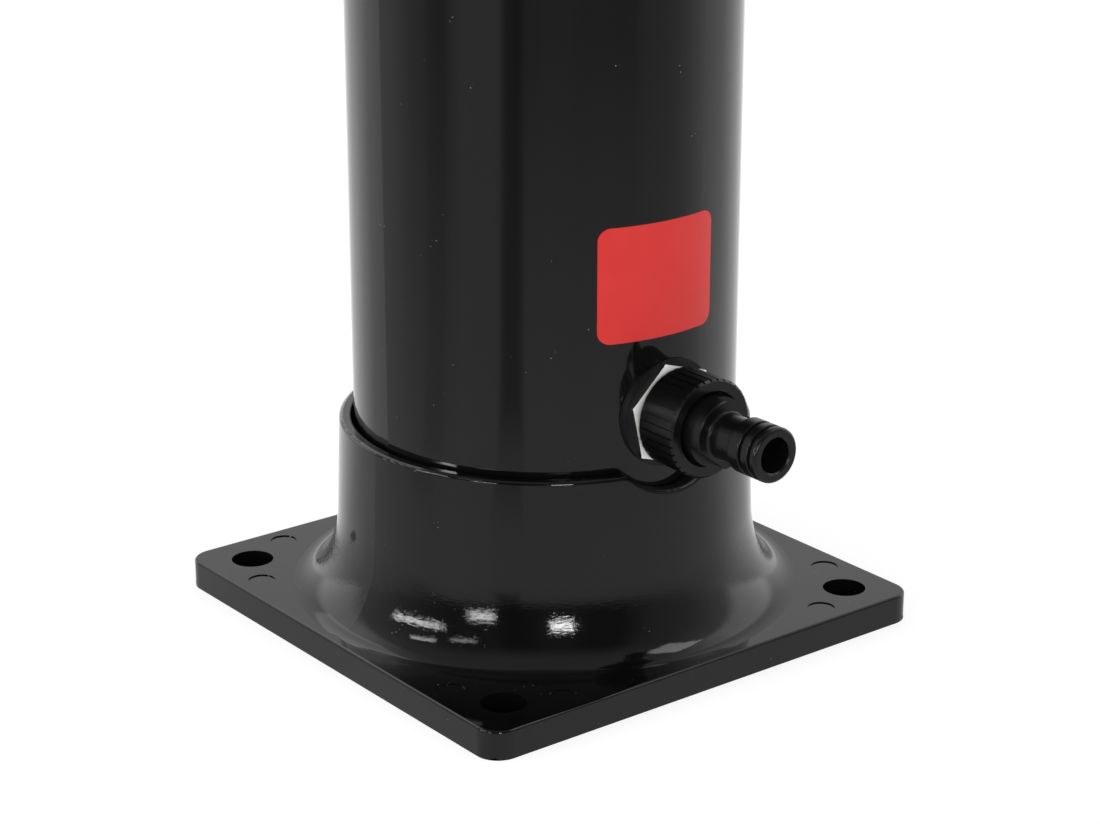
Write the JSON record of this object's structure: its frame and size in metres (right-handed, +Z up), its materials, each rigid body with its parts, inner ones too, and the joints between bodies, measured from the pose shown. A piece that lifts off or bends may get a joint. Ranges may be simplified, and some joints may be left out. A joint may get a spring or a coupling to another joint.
{
  "type": "solar outdoor shower",
  "caption": "Black water column on a square bolted foot, with a hose inlet at the back, a lever mixer, a foot tap, and a rain head on a bent arm with a ball joint.",
  "frame": {"origin": "middle of the foot's anchor hole pattern, on the surface that the foot stands on", "axes": "+Z up along the column, +Y to the back where the garden hose joins, -Y to the front where the lever, the foot tap and the rain head are"},
  "size_m": [0.174, 0.3894, 2.078],
  "materials": {
    "tank_plastic": "gloss black PVC, slightly drawn along its length",
    "foot_plastic": "gloss black moulded plastic",
    "inner_plastic": "dark grey moulded plastic",
    "hose_rubber": "black rubber hose",
    "seal_rubber": "matt black rubber",
    "steel": "stainless steel",
    "brass": "turned brass",
    "nickel": "nickel plated, satin flats",
    "hose_plastic": "black moulded plastic, semi-matt",
    "label_film": "plain red film",
    "chrome": "bright chrome",
    "chromed_plastic": "chromed plastic",
    "face_plastic": "satin grey plastic",
    "nozzle_rubber": "grey silicone",
    "cartridge_plastic": "off-white plastic",
    "index_plastic": "satin disc"
  },
  "bodies": {
    "column": {"base_flange": "foot_plastic", "base_screws": "steel", "tank_floor": "inner_plastic", "lower_tube": "tank_plastic", "tube_coupling": "foot_plastic", "coupling_seals": "seal_rubber", "upper_tube": "tank_plastic", "top_cap": "foot_plastic", "inlet_stub": "brass", "inlet_inner_washer": "seal_rubber", "inlet_outer_washer": "seal_rubber", "inlet_locknut": "nickel", "inlet_gasket": "seal_rubber", "inlet_nipple": "hose_plastic", "inlet_label": "label_film", "inlet_tee": "inner_plastic", "cold_hose": "hose_rubber", "hot_hose": "hose_rubber", "riser_hose": "hose_rubber", "hose_clamps": "steel", "mixer_seal": "seal_rubber", "mixer_body": "chrome", "mixer_inner_washer": "steel", "mixer_backnut": "brass", "cartridge_housing": "cartridge_plastic", "mixer_bonnet": "chrome", "foot_tap_seal": "seal_rubber", "foot_tap_body": "chrome", "foot_tap_inner_washer": "steel", "foot_tap_backnut": "brass", "foot_tap_headwork": "brass", "foot_tap_aerator": "chrome", "arm_seal": "seal_rubber", "arm_escutcheon": "chrome", "arm_inner_washer": "steel", "arm_backnut": "brass", "shower_arm": "chrome", "ball_stud": "chrome"},
    "hose_nut": {"inlet_nut": "hose_plastic"},
    "turntable": {"cartridge_turntable": "cartridge_plastic", "stem_pin": "steel"},
    "lever": {"lever_stem": "brass", "mixer_lever": "chrome", "lever_screw": "steel", "lever_index": "index_plastic"},
    "foot_tap_handle": {"foot_tap_spindle": "brass", "foot_tap_knob": "chrome", "foot_tap_index": "index_plastic"},
    "ball_seat": {"ball_seat": "inner_plastic"},
    "rain_head": {"ball_nut": "chromed_plastic", "head_body": "chromed_plastic", "head_face": "face_plastic", "head_nozzles": "nozzle_rubber"}
  },
  "joints": [
    {"name": "hose_nut_turn", "type": "hinge", "parent": "column", "child": "hose_nut", "pos_m": [0, 0.0745, 0.085], "axis": [0, 1, 0], "continuous": true},
    {"name": "mixer_turn", "type": "hinge", "parent": "column", "child": "turntable", "pos_m": [0, -0.118, 1.16], "axis": [0, -1, 0], "range_deg": [-50, 50]},
    {"name": "mixer_lift", "type": "hinge", "parent": "turntable", "child": "lever", "pos_m": [0, -0.118, 1.16], "axis": [1, 0, 0], "range_deg": [0, 25]},
    {"name": "foot_tap_turn", "type": "hinge", "parent": "column", "child": "foot_tap_handle", "pos_m": [0, -0.12, 0.33], "axis": [0, -1, 0], "range_deg": [0, 90]},
    {"name": "head_tilt", "type": "hinge", "parent": "column", "child": "ball_seat", "pos_m": [0, -0.2025, 1.899], "axis": [1, 0, 0], "range_deg": [-20, 20]},
    {"name": "head_sway", "type": "hinge", "parent": "ball_seat", "child": "rain_head", "pos_m": [0, -0.2025, 1.899], "axis": [0, 1, 0], "range_deg": [-20, 20]}
  ]
}
